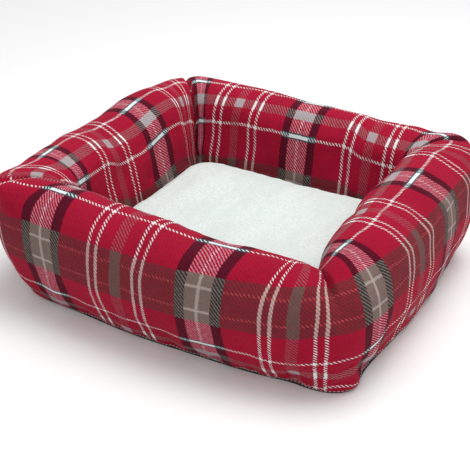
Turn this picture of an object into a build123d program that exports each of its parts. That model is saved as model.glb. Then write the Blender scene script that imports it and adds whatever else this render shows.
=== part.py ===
"""Bolster pet bed: four stuffed fleece walls round a padded well, and a loose sherpa cushion.

Frame: the origin is on the underside, below the middle of the overall outline. X runs along
the front wall, Y from the front wall to the rear wall, and Z up. The walls lean out unevenly,
so the sub-parts are first made round the middle of the well, and moved to the frame at the
end. All lengths are in millimetres.
"""
import os
from math import asin, atan2, cos, degrees, hypot, radians, sin, sqrt, tan

from build123d import *

# ---- driving dimensions ----
BED_LENGTH = 444.0          # foot to foot across the straight walls, along X
BED_DEPTH = 386.0           # the same along Y
WALL_THICKNESS = 72.0       # of a stuffed wall, where it meets the next one
OUTER_CORNER_RADIUS = 36.0
WELL_CORNER_RADIUS = 12.0
HEM_TUCK = 11.0             # how far the outer hem is pulled in under the belly of a wall
CORNER_HEM_TUCK = 3.0       # the same at the corners, which the base panel holds out
BELLY_TURN = 12.0           # degrees above level where the outer face meets the crown

# Crown height and outward lean of the crown at each corner.
CORNERS = {
    "front_left": {"sides": (-1, -1), "height": 154.0, "lean": 20.0},
    "front_right": {"sides": (1, -1), "height": 132.0, "lean": 3.0},
    "rear_right": {"sides": (1, 1), "height": 167.0, "lean": 9.0},
    "rear_left": {"sides": (-1, 1), "height": 174.0, "lean": 18.0},
}
# Each wall is seen from outside, from its left corner to its right corner: its crown heights
# a quarter, half and three quarters of the way, its lean, and how far it bows out midway.
WALLS = {
    "front": {
        "turn": 0.0, "ends": ("front_left", "front_right"),
        "heights": (152.0, 146.0, 144.0), "lean": 14.0, "bow": 12.0,
    },
    "right": {
        "turn": 90.0, "ends": ("front_right", "rear_right"),
        "heights": (155.0, 161.0, 168.0), "lean": 2.0, "bow": 13.0,
    },
    "rear": {
        "turn": 180.0, "ends": ("rear_right", "rear_left"),
        "heights": (163.0, 167.0, 170.0), "lean": 18.0, "bow": 10.0,
    },
    "left": {
        "turn": 270.0, "ends": ("rear_left", "front_left"),
        "heights": (167.0, 159.0, 161.0), "lean": 28.0, "bow": 15.0,
    },
}

COVER_THICKNESS = 1.5       # fleece of the walls, with its backing
FILL_CLEARANCE = 0.4        # between a cover and the fibre inside it
PANEL_THICKNESS = 1.5       # base fabric under the whole bed
PANEL_MARGIN = 1.0          # of the base fabric beyond the hem
PAD_THICKNESS = 32.0
LINING_THICKNESS = 1.5      # fabric pocket over the pad
LINING_CLEARANCE = 1.0      # pocket to the inner faces of the walls
LAYER_GAP = 0.3             # between the pad and the fabric under and over it
PAD_CLEARANCE = 0.4         # pad to the sides of its pocket

CUSHION_GAP = 3.0           # cushion to the inner faces of the walls
CUSHION_LIFT = 0.5          # cushion to the pocket that it lies on
CUSHION_THICKNESS = 50.0
CUSHION_CORNER_RADIUS = 36.0
CUSHION_OUTLINE = (         # (part of the thickness, inset of the outline)
    (0.0, 26.0),
    (0.06, 11.0),
    (0.2, 3.0),
    (0.4, 0.0),
    (0.6, 1.5),
    (0.78, 9.0),
    (0.92, 30.0),
    (1.0, 80.0),
)
CUSHION_SEAM_LEVEL = 0.4    # height of the edge seam, as a part of the thickness
SHERPA_THICKNESS = 3.0

THREAD = 0.8                # thickness of a row of stitches

# ---- derived sizes ----
WELL_LENGTH = BED_LENGTH - 2 * WALL_THICKNESS
WELL_DEPTH = BED_DEPTH - 2 * WALL_THICKNESS
FAN_DEPTH = WALL_THICKNESS + WELL_CORNER_RADIUS     # corner fan centre, from an outer face
FAN_ANGLES = (15.0, 30.0, 45.0)
CORNER_POWER = 6            # how closely the hem's corner shape keeps to the corner
STRAIGHT_STATIONS = (-1.0, -0.75, -0.5, -0.25, 0.0, 0.25, 0.5, 0.75, 1.0)
PAD_BASE = PANEL_THICKNESS + LAYER_GAP
LINING_TOP = PAD_BASE + PAD_THICKNESS + LAYER_GAP + LINING_THICKNESS
CUSHION_BASE = LINING_TOP + CUSHION_LIFT


def wall_length(wall):
    """Length of a wall at its outer face, corner to corner."""
    return BED_LENGTH if wall in ("front", "rear") else BED_DEPTH


def wall_offset(wall):
    """Distance from the bed's centre to the wall's outer face."""
    return (BED_DEPTH if wall in ("front", "rear") else BED_LENGTH) / 2


def fan_reach(angle):
    """Distance from a corner's fan centre to the rounded outer outline, along a ray."""
    along, across = sin(radians(angle)), cos(radians(angle))
    arc_centre = FAN_DEPTH - OUTER_CORNER_RADIUS
    straight = FAN_DEPTH / across
    if straight * along <= arc_centre:
        return straight
    toward = arc_centre * (along + across)
    return toward + sqrt(toward**2 - 2 * arc_centre**2 + OUTER_CORNER_RADIUS**2)


def between(values, position):
    """Smooth value at a position from -1 to 1, through values that are evenly spaced."""
    place = (position + 1) / 2 * (len(values) - 1)
    step = min(int(place), len(values) - 2)
    part = place - step
    before, after = values[step], values[step + 1]
    first = values[step - 1] if step > 0 else 2 * before - after
    last = values[step + 2] if step + 2 < len(values) else 2 * after - before
    return 0.5 * (
        2 * before
        + (after - first) * part
        + (2 * first - 5 * before + 4 * after - last) * part**2
        + (3 * before - first - 3 * after + last) * part**3
    )


def wall_stations(wall):
    """Places of a wall's sections, from its left mitre to its right mitre.

    Each has its slide along the wall and its turn about the corner's fan centre, and the
    section's own thickness, height, lean and hem tuck.
    """
    shape = WALLS[wall]
    left, right = (CORNERS[corner] for corner in shape["ends"])
    heights = (left["height"], *shape["heights"], right["height"])
    leans = (left["lean"], *[shape["lean"]] * 3, right["lean"])
    straight = wall_length(wall) / 2 - FAN_DEPTH
    corner_point = straight + fan_reach(45.0) * sin(radians(45.0))
    places = [(-straight, -angle) for angle in reversed(FAN_ANGLES)]
    places += [(part * straight, 0.0) for part in STRAIGHT_STATIONS]
    places += [(straight, angle) for angle in FAN_ANGLES]
    stations = []
    for slide, turn in places:
        reach = fan_reach(abs(turn))
        position = (slide + reach * sin(radians(turn))) / corner_point
        station = {
            "slide": slide,
            "turn": turn,
            "thickness": reach - WELL_CORNER_RADIUS + shape["bow"] * (1 - position**2),
            "height": between(heights, position),
            "lean": between(leans, position),
            "tuck": HEM_TUCK + (CORNER_HEM_TUCK - HEM_TUCK) * position**CORNER_POWER,
        }
        stations.append(station)
    return stations


def crown_centre(station):
    """Centre of the crown's round, from the corner's fan centre and from the ground."""
    across = WELL_CORNER_RADIUS + station["thickness"] / 2 + station["lean"]
    return across, station["height"] - station["thickness"] / 2


def inner_face_angle(station):
    """Angle of the straight inner face of a wall, in degrees above level."""
    across, up = crown_centre(station)
    across, up = across - WELL_CORNER_RADIUS, up - PANEL_THICKNESS
    return degrees(atan2(up, across) + asin(station["thickness"] / 2 / hypot(across, up)))


def draw_skin(station, inset):
    """Draw a stuffed wall's outline from its outer hem over the crown to its inner foot.

    The sketch's first axis is the distance from the corner's fan centre, its second the
    height. A large arc bellies out from the hem and runs into the crown's round, which a
    straight inner face meets. The inset moves the outline into the wall. Returns the ends.
    """
    crown_radius = station["thickness"] / 2
    crown_x, crown_y = crown_centre(station)
    hem_x = WELL_CORNER_RADIUS + station["thickness"] - station["tuck"] - crown_x
    hem_y = PANEL_THICKNESS - crown_y
    turn_x, turn_y = cos(radians(BELLY_TURN)), sin(radians(BELLY_TURN))
    meet = hem_x * turn_x + hem_y * turn_y
    side_radius = (hem_x**2 + hem_y**2 - 2 * crown_radius * meet + crown_radius**2) / (
        2 * (crown_radius - meet)
    )
    side_x = crown_x - (side_radius - crown_radius) * turn_x
    side_y = crown_y - (side_radius - crown_radius) * turn_y
    start = degrees(asin((PANEL_THICKNESS - side_y) / (side_radius - inset)))
    face_angle = inner_face_angle(station)
    side = CenterArc((side_x, side_y), side_radius - inset, start, BELLY_TURN - start)
    crown = CenterArc(
        (crown_x, crown_y), crown_radius - inset, BELLY_TURN, face_angle + 90 - BELLY_TURN
    )
    foot = (WELL_CORNER_RADIUS + inset / sin(radians(face_angle)), PANEL_THICKNESS)
    Line(crown @ 1, foot)
    return side @ 0, foot


def wall_section(wall, station, inset, hollow):
    """Face of one section in its place on the front side: a full one, or only the cover."""
    turn = radians(station["turn"])
    fan_centre = (station["slide"], FAN_DEPTH - wall_offset(wall), 0)
    upright = Plane(
        origin=fan_centre, x_dir=(sin(turn), -cos(turn), 0), z_dir=(-cos(turn), -sin(turn), 0)
    )
    with BuildSketch(upright) as section:
        with BuildLine():
            hem, foot = draw_skin(station, inset)
            if hollow:
                inner_hem, inner_foot = draw_skin(station, inset + COVER_THICKNESS)
                Line(hem, inner_hem)
                Line(foot, inner_foot)
            else:
                Line(hem, foot)
        make_face()
    return section.sketch.face()


def wall_solid(wall, inset=0.0, hollow=False):
    """Stuffed wall from mitre to mitre, or only its cover, standing on the base panel."""
    sections = [wall_section(wall, place, inset, hollow) for place in wall_stations(wall)]
    return Rot(0, 0, WALLS[wall]["turn"]) * loft(sections, ruled=True)


def hem_plate(growth, base, thickness):
    """Flat plate whose outline follows the outer hem of the walls, moved out by a growth."""
    corners = []
    for wall, shape in WALLS.items():
        for station in wall_stations(wall)[:-1]:
            turn = radians(station["turn"])
            reach = WELL_CORNER_RADIUS + station["thickness"] - station["tuck"] + growth
            x = station["slide"] + reach * sin(turn)
            y = FAN_DEPTH - wall_offset(wall) - reach * cos(turn)
            corners.append(Vector(x, y).rotate(Axis.Z, shape["turn"]))
    return Pos(0, 0, base) * extrude(make_face(Polyline(*corners, close=True)), thickness)


def rounded_plate(length, depth, radius, base, thickness):
    """Flat plate with rounded corners, centred on the bed."""
    outline = RectangleRounded(length, depth, radius)
    return Pos(0, 0, base) * extrude(outline, thickness)


def well_plate(clearance, base, thickness):
    """Plate that fits the well, with a clearance to the inner faces of the walls."""
    return rounded_plate(
        WELL_LENGTH - 2 * clearance,
        WELL_DEPTH - 2 * clearance,
        WELL_CORNER_RADIUS - clearance / 2,
        base,
        thickness,
    )


def base_seam():
    """Row of stitches along the hem, let into the base panel under the wall covers."""
    inset = (COVER_THICKNESS - THREAD) / 2
    base = PANEL_THICKNESS - THREAD
    return hem_plate(-inset, base, THREAD) - hem_plate(-inset - THREAD, base, THREAD)


def base_panel():
    """Base fabric under the whole bed, out to the hem of the walls."""
    return hem_plate(PANEL_MARGIN, 0.0, PANEL_THICKNESS)


def base_pad():
    """Fibre pad inside the pocket of the well."""
    clearance = LINING_CLEARANCE + LINING_THICKNESS + PAD_CLEARANCE
    return well_plate(clearance, PAD_BASE, PAD_THICKNESS)


def base_lining():
    """Fabric pocket over the pad: a top sheet and sides that come down to the base panel."""
    outside = well_plate(LINING_CLEARANCE, PANEL_THICKNESS, LINING_TOP - PANEL_THICKNESS)
    inside = well_plate(
        LINING_CLEARANCE + LINING_THICKNESS, 0.0, LINING_TOP - LINING_THICKNESS
    )
    return outside - inside


def corner_seam(corner):
    """Row of stitches up the inner corner, where two wall covers meet at their mitre."""
    side_x, side_y = CORNERS[corner]["sides"]
    wall = next(name for name, shape in WALLS.items() if shape["ends"][0] == corner)
    mitre = wall_stations(wall)[0]
    slope = tan(radians(90 - inner_face_angle(mitre)))
    ends = []
    for height in (LINING_TOP, crown_centre(mitre)[1]):
        reach = WELL_CORNER_RADIUS + COVER_THICKNESS / 2 + (height - PANEL_THICKNESS) * slope
        diagonal = reach * cos(radians(45)) - WELL_CORNER_RADIUS
        x = side_x * (WELL_LENGTH / 2 + diagonal)
        y = side_y * (WELL_DEPTH / 2 + diagonal)
        ends.append(Vector(x, y, height))
    run = ends[1] - ends[0]
    return Solid.make_cylinder(THREAD / 2, run.length, Plane(origin=ends[0], z_dir=run))


def cushion_solid(inset):
    """Crowned cushion, shrunk by the inset all round."""
    sections = []
    for level, edge_inset in CUSHION_OUTLINE:
        height = CUSHION_BASE + inset + level * (CUSHION_THICKNESS - 2 * inset)
        edge = CUSHION_GAP + edge_inset + inset
        outline = RectangleRounded(
            WELL_LENGTH - 2 * edge, WELL_DEPTH - 2 * edge, CUSHION_CORNER_RADIUS - inset
        )
        sections.append(Pos(0, 0, height) * outline)
    return loft(sections, ruled=True)


def cushion_edge_seam():
    """Row of stitches round the cushion's edge, within the thickness of its covers."""
    inset = CUSHION_GAP + (SHERPA_THICKNESS - THREAD) / 2
    outer = RectangleRounded(
        WELL_LENGTH - 2 * inset, WELL_DEPTH - 2 * inset, CUSHION_CORNER_RADIUS
    )
    inner = offset(outer, amount=-THREAD)
    seam_level = CUSHION_BASE + CUSHION_THICKNESS * CUSHION_SEAM_LEVEL
    return Pos(0, 0, seam_level - THREAD / 2) * extrude(outer - inner, THREAD)


def build_nodes():
    """Every sub-part in its own node, by name."""
    nodes = {"base_panel": base_panel(), "base_pad": base_pad(), "base_lining": base_lining()}
    nodes["base_seam"] = base_seam()
    nodes["base_panel"] -= nodes["base_seam"]
    for wall in WALLS:
        nodes[wall + "_bolster_cover"] = wall_solid(wall, hollow=True)
        nodes[wall + "_bolster_fill"] = wall_solid(wall, COVER_THICKNESS + FILL_CLEARANCE)
    for corner in CORNERS:
        nodes["corner_seam_" + corner] = corner_seam(corner)

    seam_plane = Plane.XY.offset(CUSHION_BASE + CUSHION_THICKNESS * CUSHION_SEAM_LEVEL)
    nodes["cushion_edge_seam"] = cushion_edge_seam()
    shell = cushion_solid(0.0) - cushion_solid(SHERPA_THICKNESS) - nodes["cushion_edge_seam"]
    nodes["cushion_top_cover"] = split(shell, bisect_by=seam_plane, keep=Keep.TOP)
    nodes["cushion_bottom_cover"] = split(shell, bisect_by=seam_plane, keep=Keep.BOTTOM)
    nodes["cushion_fill"] = cushion_solid(SHERPA_THICKNESS + FILL_CLEARANCE)
    return nodes


def centred(nodes):
    """The same nodes, moved so that the middle of the overall outline is at the origin."""
    boxes = [shape.bounding_box() for shape in nodes.values()]
    middle_x = (min(box.min.X for box in boxes) + max(box.max.X for box in boxes)) / 2
    middle_y = (min(box.min.Y for box in boxes) + max(box.max.Y for box in boxes)) / 2
    return {name: Pos(-middle_x, -middle_y, 0) * shape for name, shape in nodes.items()}


os.makedirs("parts", exist_ok=True)
for name, shape in centred(build_nodes()).items():
    export_step(shape, "parts/" + name + ".step")
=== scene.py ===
"""Looks of the bolster pet bed: four stuffed tartan walls round a well, and a sherpa cushion.

Everything is in metres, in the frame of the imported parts. The walls are one ring of sections,
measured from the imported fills, sculpted and puffed up by a cloth simulation, then cut at the
four mitres. The cushion is made to meet the finished walls.
"""

from math import cos, pi, radians, sin

import bpy
import numpy as np
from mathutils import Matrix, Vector
from mathutils.bvhtree import BVHTree


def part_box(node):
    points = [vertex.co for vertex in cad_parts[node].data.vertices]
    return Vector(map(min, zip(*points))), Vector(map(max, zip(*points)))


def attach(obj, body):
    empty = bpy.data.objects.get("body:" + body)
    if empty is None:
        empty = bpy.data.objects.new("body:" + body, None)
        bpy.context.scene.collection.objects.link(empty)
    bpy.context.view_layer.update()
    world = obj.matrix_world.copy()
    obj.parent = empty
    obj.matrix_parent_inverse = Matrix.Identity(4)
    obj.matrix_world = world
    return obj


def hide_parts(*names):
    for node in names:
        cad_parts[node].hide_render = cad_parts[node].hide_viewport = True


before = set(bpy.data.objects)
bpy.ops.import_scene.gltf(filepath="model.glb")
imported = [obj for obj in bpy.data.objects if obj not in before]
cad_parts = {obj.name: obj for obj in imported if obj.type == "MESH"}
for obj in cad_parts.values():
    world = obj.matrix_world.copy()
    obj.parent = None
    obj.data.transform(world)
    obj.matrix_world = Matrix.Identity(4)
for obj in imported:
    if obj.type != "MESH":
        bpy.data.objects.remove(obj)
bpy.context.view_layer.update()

# ---- sizes, in metres ----
MM = 0.001
LINING_CLEARANCE = 1.0 * MM     # well pocket to the inner faces of the walls
WELL_CORNER = 12.0 * MM
COVER_OUTSET = 1.9 * MM         # surface of a packed fill to the outside of its cover
COVER_THICKNESS = 1.5 * MM
SPINE_ACROSS = 57.0 * MM        # a line inside the walls that every section is seen from
SPINE_HEIGHT = 80.0 * MM
FAN_STEPS = 12                  # sections in half a corner
STRAIGHT_SPACING = 6.0 * MM
SECTION_BLEND = 1.6             # sections that are evened out together
SECTION_STEPS = 64              # from the outer hem over the crown to the inner foot

WALLS = ("front", "right", "rear", "left")
OUTWARD = {"front": (0, -1), "right": (1, 0), "rear": (0, 1), "left": (-1, 0)}
ALONG = {"front": (1, 0), "right": (0, 1), "rear": (-1, 0), "left": (0, -1)}
# The corner at the left end of each wall, seen from outside.
LEFT_CORNER = {
    "front": "front_left", "right": "front_right", "rear": "rear_right", "left": "rear_left",
}

PANEL_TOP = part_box("base_panel")[1].z
lining_low, lining_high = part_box("base_lining")
WELL_CENTRE = np.array((lining_low + lining_high)[:2]) / 2
WELL_HALF = np.array((lining_high - lining_low)[:2]) / 2 + LINING_CLEARANCE


# ---- small helpers ----
def smoothstep(low, high, value):
    part = np.clip((value - low) / (high - low), 0.0, 1.0)
    return part * part * (3.0 - 2.0 * part)


def bell(distance, width):
    return np.exp(-((distance / width) ** 2))


def lattice_noise(points, grain, seed):
    """Smooth random values from -1 to 1 over points in space, repeating every 32 grains."""
    lattice = np.random.default_rng(seed).uniform(-1.0, 1.0, (32, 32, 32))
    place = points / grain
    cell = np.floor(place).astype(int)
    part = place - cell
    part = part * part * (3.0 - 2.0 * part)
    value = np.zeros(len(points))
    for corner in np.ndindex(2, 2, 2):
        weight = np.prod(np.where(corner, part, 1.0 - part), axis=1)
        index = tuple(((cell + corner) % 32).T)
        value += weight * lattice[index]
    return value


def smooth_round(values, width):
    """Values smoothed along the first axis, which closes on itself, by a bell this wide."""
    reach = int(3 * width)
    offsets = np.arange(-reach, reach + 1)
    weights = np.exp(-0.5 * (offsets / width) ** 2)
    rolled = [weight * np.roll(values, offset, axis=0) for offset, weight in zip(offsets, weights)]
    return sum(rolled) / weights.sum()


def new_mesh(name, points, faces):
    mesh = bpy.data.meshes.new(name)
    mesh.from_pydata([tuple(point) for point in points], [], [tuple(face) for face in faces])
    mesh.polygons.foreach_set("use_smooth", [True] * len(mesh.polygons))
    mesh.update()
    piece = bpy.data.objects.new(name, mesh)
    bpy.context.scene.collection.objects.link(piece)
    return piece


def points_of(piece):
    points = np.empty(len(piece.data.vertices) * 3)
    piece.data.vertices.foreach_get("co", points)
    return points.reshape(-1, 3)


def grid_faces(rows, columns, wrap_rows=False):
    """Quads of a grid of points, row by row; the last row may join the first."""
    count = rows if wrap_rows else rows - 1
    row, column = np.meshgrid(np.arange(count), np.arange(columns - 1), indexing="ij")
    after = (row + 1) % rows
    corners = [row * columns + column, after * columns + column,
               after * columns + column + 1, row * columns + column + 1]
    return np.stack([corner.ravel() for corner in corners], axis=1)


def grid_normals(grid, wrap_rows=False):
    """Unit normals of a grid of points, turned outwards for the ring of the walls."""
    if wrap_rows:
        along = np.roll(grid, -1, axis=0) - np.roll(grid, 1, axis=0)
    else:
        along = np.gradient(grid, axis=0)
    normals = np.cross(along, np.gradient(grid, axis=1))
    return normals / np.maximum(np.linalg.norm(normals, axis=2, keepdims=True), 1e-12)


# ---- the ring of wall sections ----
def ring_stations():
    """Every section's place: its wall, its fan centre, its outward direction, and its turn."""
    stations = []
    for wall in WALLS:
        outward, along = np.array(OUTWARD[wall], float), np.array(ALONG[wall], float)
        middle = WELL_CENTRE + outward * (abs(outward) @ WELL_HALF - WELL_CORNER)
        straight = abs(along) @ WELL_HALF - WELL_CORNER
        steps = round(2 * straight / STRAIGHT_SPACING)
        fan = [(-straight, radians(-45 + 45 * step / FAN_STEPS)) for step in range(FAN_STEPS)]
        run = [(-straight + 2 * straight * step / steps, 0.0) for step in range(steps)]
        end = [(straight, radians(45 * step / FAN_STEPS)) for step in range(FAN_STEPS)]
        for slide, turn in fan + run + end:
            stations.append({
                "wall": wall,
                "centre": middle + along * slide,
                "across": outward * cos(turn) + along * sin(turn),
                "turn": turn,
            })
    return stations


def packed_surface(wall):
    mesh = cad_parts[wall + "_bolster_fill"].data
    mesh.calc_loop_triangles()
    corners = [tuple(triangle.vertices) for triangle in mesh.loop_triangles]
    return BVHTree.FromPolygons([vertex.co for vertex in mesh.vertices], corners)


def measured_section(station, surface):
    """The skin of one section, as (across, up) points from the hem to the foot, evenly spaced."""
    just_inside = radians(0.3)
    turn = np.clip(station["turn"], radians(-45) + just_inside, radians(45) - just_inside)
    outward = np.array(OUTWARD[station["wall"]], float)
    along = np.array(ALONG[station["wall"]], float)
    seen_across = outward * cos(turn) + along * sin(turn)
    spine = Vector((*(station["centre"] + seen_across * SPINE_ACROSS), SPINE_HEIGHT))
    skin = []
    for angle in np.radians(np.arange(-85.0, 262.0, 2.5)):
        direction = Vector((*(seen_across * cos(angle)), sin(angle)))
        hit, _, _, distance = surface.ray_cast(spine, direction)
        if hit is not None and hit.z > PANEL_TOP + 1.0 * MM:
            skin.append((SPINE_ACROSS + distance * cos(angle), hit.z))
    skin = np.array(skin)
    for end, beside in ((0, 1), (-1, -2)):
        slope = (skin[end] - skin[beside]) / (skin[end, 1] - skin[beside, 1])
        foot = skin[end] + slope * (PANEL_TOP - skin[end, 1])
        skin = np.vstack([foot, skin]) if end == 0 else np.vstack([skin, foot])
    tangent = np.gradient(skin, axis=0)
    outside = np.stack([tangent[:, 1], -tangent[:, 0]], axis=1)
    outside /= np.linalg.norm(outside, axis=1, keepdims=True)
    outside[[0, -1], 1] = 0.0
    skin = skin + outside * COVER_OUTSET
    length = np.concatenate([[0], np.cumsum(np.linalg.norm(np.diff(skin, axis=0), axis=1))])
    even = np.linspace(0, length[-1], SECTION_STEPS + 1)
    return np.stack([np.interp(even, length, skin[:, axis]) for axis in (0, 1)], axis=1)


def measured_ring(stations):
    surfaces = {wall: packed_surface(wall) for wall in WALLS}
    sections = np.array([
        measured_section(station, surfaces[station["wall"]]) for station in stations
    ])
    return smooth_round(sections, SECTION_BLEND)


stations = ring_stations()
centres = np.array([station["centre"] for station in stations])
acrosses = np.array([station["across"] for station in stations])
mitres = [index for index, station in enumerate(stations) if station["turn"] < radians(-44.9)]
mitre_of = {LEFT_CORNER[stations[index]["wall"]]: index for index in mitres}


def ring_points(sections):
    """Section points (across, up) put in their places in the frame."""
    flat = centres[:, None, :] + acrosses[:, None, :] * sections[:, :, :1]
    return np.concatenate([flat, sections[:, :, 1:]], axis=2)


def mitre_distance(grid):
    """Distance of every ring point from the plane of each corner's mitre, by corner."""
    found = {}
    for corner, index in mitre_of.items():
        across = acrosses[index]
        beside = np.array([-across[1], across[0]])
        offset = grid[:, :, :2] - centres[index]
        side = np.abs(offset @ beside)
        ahead = offset @ across
        found[corner] = np.where(ahead > 0, side, np.hypot(side, ahead))
    return found


# ---- sculpting ----
CREASES = {                     # depth of the crease where two walls meet at the crown
    "front_left": 14.0 * MM, "front_right": 15.0 * MM,
    "rear_right": 14.0 * MM, "rear_left": 14.0 * MM,
}
CREASE_WIDTH = 24.0 * MM
CREASE_FOOT = (34.0 * MM, 78.0 * MM)    # heights on the inner face where a crease starts, is full
CREASE_SIDE = (15.0, 75.0)              # degrees of the skin's slope where it ends, is full
EARS = {                        # how far the outer shoulder of a corner points outwards, and up
    "front_left": (22.0 * MM, 17.0 * MM), "front_right": (2.0 * MM, 0.0),
    "rear_right": (15.0 * MM, 6.0 * MM), "rear_left": (3.0 * MM, 1.0 * MM),
}
EAR_SLOPE = (42.0, 34.0)        # degrees of the skin's slope at its tip, and its spread
EAR_WIDTH = 34.0 * MM
HEM_HEIGHT = 42.0 * MM          # up to here a moved foot carries the fabric with it
FOOT_MOVES = (                  # corner, way on from it round the bed, spread, move in X and Y
    ("front_right", 22.0 * MM, 24.0 * MM, (9.0 * MM, 0.0)),
    ("front_right", -48.0 * MM, 40.0 * MM, (0.0, 7.0 * MM)),
    ("front_left", 190.0 * MM, 70.0 * MM, (0.0, -3.0 * MM)),
    ("front_right", 200.0 * MM, 70.0 * MM, (2.0 * MM, 0.0)),
    ("rear_right", 160.0 * MM, 70.0 * MM, (0.0, -3.0 * MM)),
    ("rear_left", 220.0 * MM, 60.0 * MM, (3.0 * MM, 0.0)),
)
LUMP_GRAIN = 75.0 * MM          # uneven stuffing
LUMP_HEIGHT = 3.2 * MM
DENT_GRAIN = 26.0 * MM          # smaller dents of the soft fleece
DENT_HEIGHT = 1.8 * MM
PUCKER_GRAIN = 15.0 * MM        # gathers along the hem
PUCKER_HEIGHT = 1.8 * MM
PUCKER_REACH = 26.0 * MM
HEM_FREE = 8.0 * MM             # above the panel, where the hem stops holding the fabric
BELLY_PART = 30                 # percent of the skin, from the hem to the fullest of the side


def skin_directions(sections):
    """Outside directions of the sections' skin, and their slopes in degrees above level."""
    tangent = np.gradient(sections, axis=1)
    tangent /= np.linalg.norm(tangent, axis=2, keepdims=True)
    outside = np.stack([tangent[:, :, 1], -tangent[:, :, 0]], axis=2)
    return outside, np.degrees(np.arctan2(outside[:, :, 1], outside[:, :, 0]))


def way_round(grid):
    """Length round the outer face of the bed, from the first section to each section."""
    belly = grid[:, grid.shape[1] * BELLY_PART // 100]
    steps = np.linalg.norm(belly - np.roll(belly, 1, axis=0), axis=1)
    return np.cumsum(steps) - steps[0], steps.sum()


def way_from(grid, corner):
    """Signed way round from a corner's mitre to each section."""
    way, whole = way_round(grid)
    return (way - way[mitre_of[corner]] + whole / 2) % whole - whole / 2


def sculpt_sections(sections):
    """Creases where the walls meet, and the pointed shoulders of the corners."""
    outside, slope = skin_directions(sections)
    inner = (slope > 120) | (slope < -60)
    inner_rise = smoothstep(*CREASE_FOOT, sections[:, :, 1])
    rise = np.where(inner, inner_rise, smoothstep(*CREASE_SIDE, slope))
    shoulder = np.where(inner, 0.0, bell(slope - EAR_SLOPE[0], EAR_SLOPE[1]))
    moved = sections.copy()
    for corner, distance in mitre_distance(ring_points(sections)).items():
        part = np.clip(1.0 - distance / CREASE_WIDTH, 0.0, 1.0)
        depth = CREASES[corner] * (1.0 - np.sqrt(1.0 - part**2))
        moved -= outside * (depth * rise)[:, :, None]
        tip = shoulder * bell(distance, EAR_WIDTH)
        moved += tip[:, :, None] * np.array(EARS[corner])
    return moved


def sculpt_ring(grid):
    """Feet that stand out or in, uneven stuffing, and gathers along the hem."""
    shape = grid.shape[:2]
    hem = 1.0 - smoothstep(0.0, HEM_HEIGHT, grid[:, :, 2])
    hem *= np.arange(shape[1]) < shape[1] // 2
    moved = grid.copy()
    for corner, way_on, spread, move in FOOT_MOVES:
        near = bell(way_from(grid, corner) - way_on, spread)
        moved[:, :, :2] += (near[:, None] * hem)[:, :, None] * np.array(move)
    flat = grid.reshape(-1, 3)
    lumps = lattice_noise(flat, LUMP_GRAIN, 11).reshape(shape) * LUMP_HEIGHT
    lumps += lattice_noise(flat, DENT_GRAIN, 13).reshape(shape) * DENT_HEIGHT
    puckers = lattice_noise(flat, PUCKER_GRAIN, 12).reshape(shape) * PUCKER_HEIGHT
    puckers *= 1.0 - smoothstep(0.0, PUCKER_REACH, grid[:, :, 2])
    free = smoothstep(0.0, HEM_FREE, grid[:, :, 2] - PANEL_TOP)
    return moved + grid_normals(moved, wrap_rows=True) * ((lumps + puckers) * free)[:, :, None]


ring = sculpt_ring(ring_points(sculpt_sections(measured_ring(stations))))

# ---- cloth ----
CLOTH_FRAMES = 20
CLOTH_QUALITY = 6
CLOTH_MASS = 0.25
STRETCH_STIFFNESS, SHEAR_STIFFNESS, BENDING_STIFFNESS = 12.0, 4.0, 0.4
FOOT_HELD = 5                   # rows of points at the foot that lie behind the base pad
WALL_PRESSURE = 4.0
WALL_SLACK = 0.03
WALL_MOST = 2.5 * MM            # no point of a wall moves further than this


def pin(piece, weights):
    group = piece.vertex_groups.new(name="pin")
    for index in np.flatnonzero(weights > 0):
        group.add([int(index)], float(weights[index]), "REPLACE")


def puffed(piece, held, pressure, slack, most):
    """The piece's points after a cloth simulation; no point moves further than the most."""
    start = points_of(piece)
    pin(piece, held)
    modifier = piece.modifiers.new("cloth", "CLOTH")
    settings = modifier.settings
    settings.quality = CLOTH_QUALITY
    settings.mass = CLOTH_MASS
    settings.tension_stiffness = STRETCH_STIFFNESS
    settings.compression_stiffness = STRETCH_STIFFNESS
    settings.shear_stiffness = SHEAR_STIFFNESS
    settings.bending_stiffness = BENDING_STIFFNESS
    settings.use_pressure = True
    settings.uniform_pressure_force = pressure
    settings.shrink_min = -slack
    settings.vertex_group_mass = "pin"
    settings.effector_weights.gravity = 0.0
    modifier.collision_settings.use_collision = False
    modifier.point_cache.frame_start = 1
    modifier.point_cache.frame_end = CLOTH_FRAMES
    scene = bpy.context.scene
    for step in range(1, CLOTH_FRAMES + 1):
        scene.frame_set(step)
    evaluated = piece.evaluated_get(bpy.context.evaluated_depsgraph_get())
    points = np.empty(len(start) * 3)
    evaluated.data.vertices.foreach_get("co", points)
    piece.modifiers.remove(modifier)
    scene.frame_set(1)
    move = points.reshape(-1, 3) - start
    size = np.linalg.norm(move, axis=1, keepdims=True)
    return start + move * np.tanh(size / most) / np.maximum(size / most, 1e-9)


def refined(grid, wrap_rows):
    """The grid with one subdivision: every second point is between two old ones."""
    def doubled(values, wraps):
        after = np.roll(values, -1, axis=0)
        before = np.roll(values, 1, axis=0)
        far = np.roll(values, -2, axis=0)
        middle = (9.0 * (values + after) - before - far) / 16.0
        if not wraps:
            middle[0] = (values[0] + values[1]) / 2
            middle[-2] = (values[-2] + values[-1]) / 2
        whole = np.stack([values, middle], axis=1).reshape(-1, *values.shape[1:])
        return whole if wraps else whole[:-1]
    rows = doubled(grid, wrap_rows)
    return np.swapaxes(doubled(np.swapaxes(rows, 0, 1), False), 0, 1)


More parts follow.
